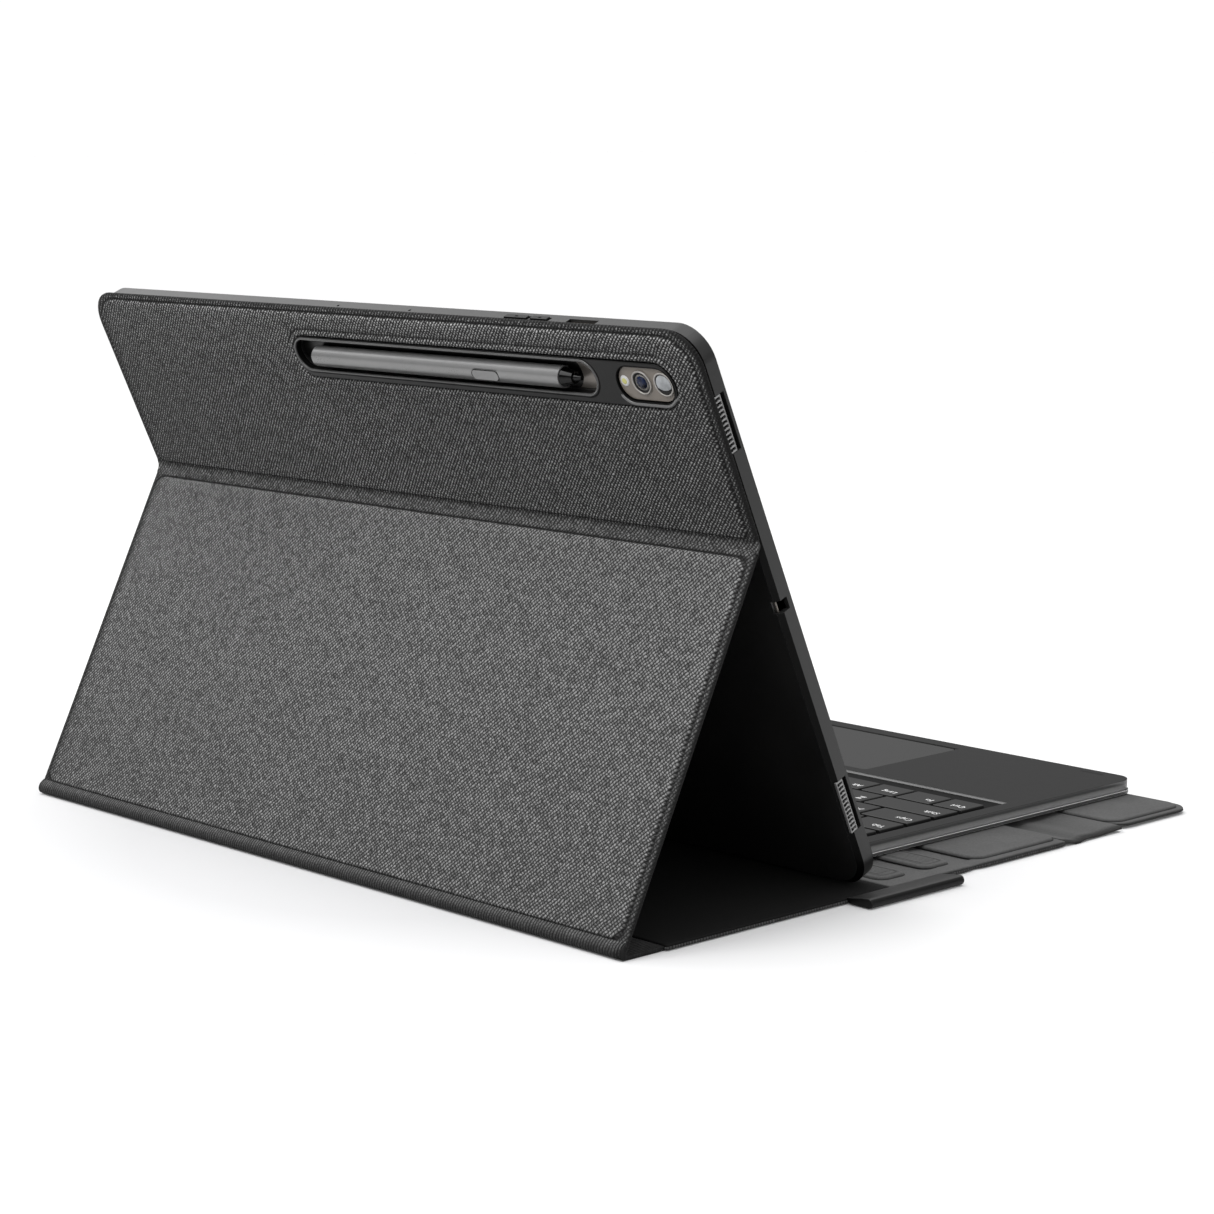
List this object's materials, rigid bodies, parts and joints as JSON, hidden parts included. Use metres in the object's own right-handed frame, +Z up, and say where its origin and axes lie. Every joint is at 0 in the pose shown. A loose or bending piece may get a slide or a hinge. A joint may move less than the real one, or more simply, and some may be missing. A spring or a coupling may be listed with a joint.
{
  "type": "tablet keyboard case",
  "caption": "Folding stand cover with a clip-in tablet tray, pen slot and camera window, and a magnetic keyboard with touchpad on its front cover.",
  "frame": {"origin": "middle of the stand base's underside, on the table", "axes": "+Z up, the typist and the keyboard towards -Y, the closure tab on -X"},
  "size_m": [0.347, 0.3005, 0.1975],
  "materials": {
    "flap_cloth": "woven, matt",
    "upper_cloth": "coarse diagonal weave, matt",
    "cover_cloth": "woven, matt",
    "inner_cloth": "fine-grained synthetic leather, matt",
    "inner_dark": "microfibre, matt",
    "board": "pressed board",
    "magnet": "nickel plated",
    "tray_plastic": "satin moulded",
    "bezel_plastic": "fine satin",
    "button_plastic": "satin moulded",
    "tablet_metal": "anodised, satin",
    "screen_glass": "polished",
    "grille_metal": "anodised, satin",
    "camera_metal": "satin",
    "ring_metal": "polished",
    "lens_glass": "polished",
    "flash_plastic": "polished",
    "pen_metal": "satin",
    "pen_tip_plastic": "polished",
    "keyboard_plastic": "fine satin",
    "keyboard_base_plastic": "fine satin",
    "keycap_plastic": "fine matt",
    "touchpad_glass": "satin glass",
    "battery_foil": "foil",
    "board_green": "coated",
    "switch_rubber": "moulded",
    "foot_rubber": "moulded",
    "lens_plastic": "frosted",
    "port_metal": "pressed steel"
  },
  "bodies": {
    "base": {"base_cover": "cover_cloth", "base_board": "board", "base_lining": "inner_cloth", "front_board": "board", "stand_strips": "inner_cloth", "front_pad": "inner_cloth", "base_magnets": "magnet", "spine_band": "cover_cloth", "wave_hinge": "inner_cloth"},
    "closing_flap": {"closing_cover": "cover_cloth", "closing_board": "board", "closing_lining": "inner_cloth", "closing_pad": "inner_cloth", "closing_magnets": "magnet"},
    "closure_tab": {"closure_tab": "cover_cloth", "tab_magnet": "magnet"},
    "flap": {"flap_cover": "flap_cloth", "flap_board": "board", "flap_lining": "inner_dark", "flap_pad": "flap_cloth", "flap_magnets": "magnet"},
    "tray": {"crease_band": "cover_cloth", "upper_cover": "upper_cloth", "upper_board": "board", "upper_pad": "upper_cloth", "slot_bezel": "bezel_plastic", "tray_shell": "tray_plastic", "tray_lining": "inner_dark"},
    "volume_cover": {"volume_cover": "button_plastic"},
    "power_cover": {"power_cover": "button_plastic"},
    "tablet": {"tablet_housing": "tablet_metal", "tablet_battery": "battery_foil", "tablet_screen": "screen_glass", "speaker_grilles": "grille_metal", "camera_plate": "camera_metal", "camera_rings": "ring_metal", "camera_lenses": "lens_glass", "flash_lens": "flash_plastic"},
    "pen": {"pen_barrel": "pen_metal", "pen_tip": "pen_tip_plastic"},
    "pen_button": {"pen_button": "pen_metal"},
    "keyboard": {"keyboard_base": "keyboard_base_plastic", "keyboard_top": "keyboard_plastic", "keyboard_battery": "battery_foil", "circuit_board": "board_green", "switch_sheet": "switch_rubber", "keyboard_magnets": "magnet", "keyboard_feet": "foot_rubber", "indicator_lens": "lens_plastic", "charge_port": "port_metal"},
    "power_switch": {"power_switch": "button_plastic"},
    "touchpad": {"touchpad": "touchpad_glass", "touchpad_board": "board_green"},
    "function_keys": {"function_keys": "keycap_plastic"},
    "number_keys": {"number_keys": "keycap_plastic"},
    "tab_keys": {"tab_keys": "keycap_plastic"},
    "caps_keys": {"caps_keys": "keycap_plastic"},
    "shift_keys": {"shift_keys": "keycap_plastic"},
    "ctrl_keys": {"ctrl_keys": "keycap_plastic"},
    "space_bar": {"space_bar": "keycap_plastic"}
  },
  "joints": [
    {"name": "stand_fold", "type": "hinge", "parent": "base", "child": "flap", "pos_m": [0, 0.0738, 0.00075], "axis": [1, 0, 0], "range_deg": [-24, 0]},
    {"name": "tray_fold", "type": "hinge", "parent": "flap", "child": "tray", "pos_m": [0, 0.0137, 0.1254], "axis": [1, 0, 0], "range_deg": [0, 48]},
    {"name": "closing_fold", "type": "hinge", "parent": "base", "child": "closing_flap", "pos_m": [0, -0.179, 0.0014], "axis": [1, 0, 0], "range_deg": [0, 90]},
    {"name": "tab_fold", "type": "hinge", "parent": "base", "child": "closure_tab", "pos_m": [-0.169, -0.053, 0.0014], "axis": [0, 1, 0], "range_deg": [0, 90]},
    {"name": "tablet_release", "type": "hinge", "parent": "tray", "child": "tablet", "pos_m": [0, -0.0483, 0.00554], "axis": [1, 0, 0], "range_deg": [0, 20]},
    {"name": "pen_release", "type": "slide", "parent": "tray", "child": "pen", "axis": [0, 0.9143, -0.4051], "range_m": [0, 0.03]},
    {"name": "pen_button_press", "type": "slide", "parent": "pen", "child": "pen_button", "axis": [0, -0.9143, 0.4051], "range_m": [0, 0.0003], "stiffness_N_per_m": 1000, "springref_m": -0.0003},
    {"name": "volume_press", "type": "slide", "parent": "tray", "child": "volume_cover", "axis": [0, -0.4051, -0.9143], "range_m": [0, 0.0003], "stiffness_N_per_m": 2000, "springref_m": -0.0003},
    {"name": "power_press", "type": "slide", "parent": "tray", "child": "power_cover", "axis": [0, -0.4051, -0.9143], "range_m": [0, 0.0003], "stiffness_N_per_m": 2000, "springref_m": -0.0003},
    {"name": "keyboard_lift", "type": "slide", "parent": "base", "child": "keyboard", "axis": [0, 0, 1], "range_m": [0, 0.05]},
    {"name": "power_slide", "type": "slide", "parent": "keyboard", "child": "power_switch", "axis": [0, 1, 0], "range_m": [0, 0.0032]},
    {"name": "touchpad_click", "type": "slide", "parent": "keyboard", "child": "touchpad", "axis": [0, 0, -1], "range_m": [0, 0.0003], "stiffness_N_per_m": 3000, "springref_m": -0.0004},
    {"name": "function_keys_press", "type": "slide", "parent": "keyboard", "child": "function_keys", "axis": [0, 0, -1], "range_m": [0, 0.001], "stiffness_N_per_m": 500, "springref_m": -0.0008},
    {"name": "number_keys_press", "type": "slide", "parent": "keyboard", "child": "number_keys", "axis": [0, 0, -1], "range_m": [0, 0.001], "stiffness_N_per_m": 500, "springref_m": -0.0008},
    {"name": "tab_keys_press", "type": "slide", "parent": "keyboard", "child": "tab_keys", "axis": [0, 0, -1], "range_m": [0, 0.001], "stiffness_N_per_m": 500, "springref_m": -0.0008},
    {"name": "caps_keys_press", "type": "slide", "parent": "keyboard", "child": "caps_keys", "axis": [0, 0, -1], "range_m": [0, 0.001], "stiffness_N_per_m": 500, "springref_m": -0.0008},
    {"name": "shift_keys_press", "type": "slide", "parent": "keyboard", "child": "shift_keys", "axis": [0, 0, -1], "range_m": [0, 0.001], "stiffness_N_per_m": 500, "springref_m": -0.0008},
    {"name": "ctrl_keys_press", "type": "slide", "parent": "keyboard", "child": "ctrl_keys", "axis": [0, 0, -1], "range_m": [0, 0.001], "stiffness_N_per_m": 500, "springref_m": -0.0008},
    {"name": "space_bar_press", "type": "slide", "parent": "keyboard", "child": "space_bar", "axis": [0, 0, -1], "range_m": [0, 0.001], "stiffness_N_per_m": 300, "springref_m": -0.0008}
  ],
  "couplings": [
    {"joint": "stand_fold", "follows": "tray_fold", "ratio": -0.5}
  ]
}
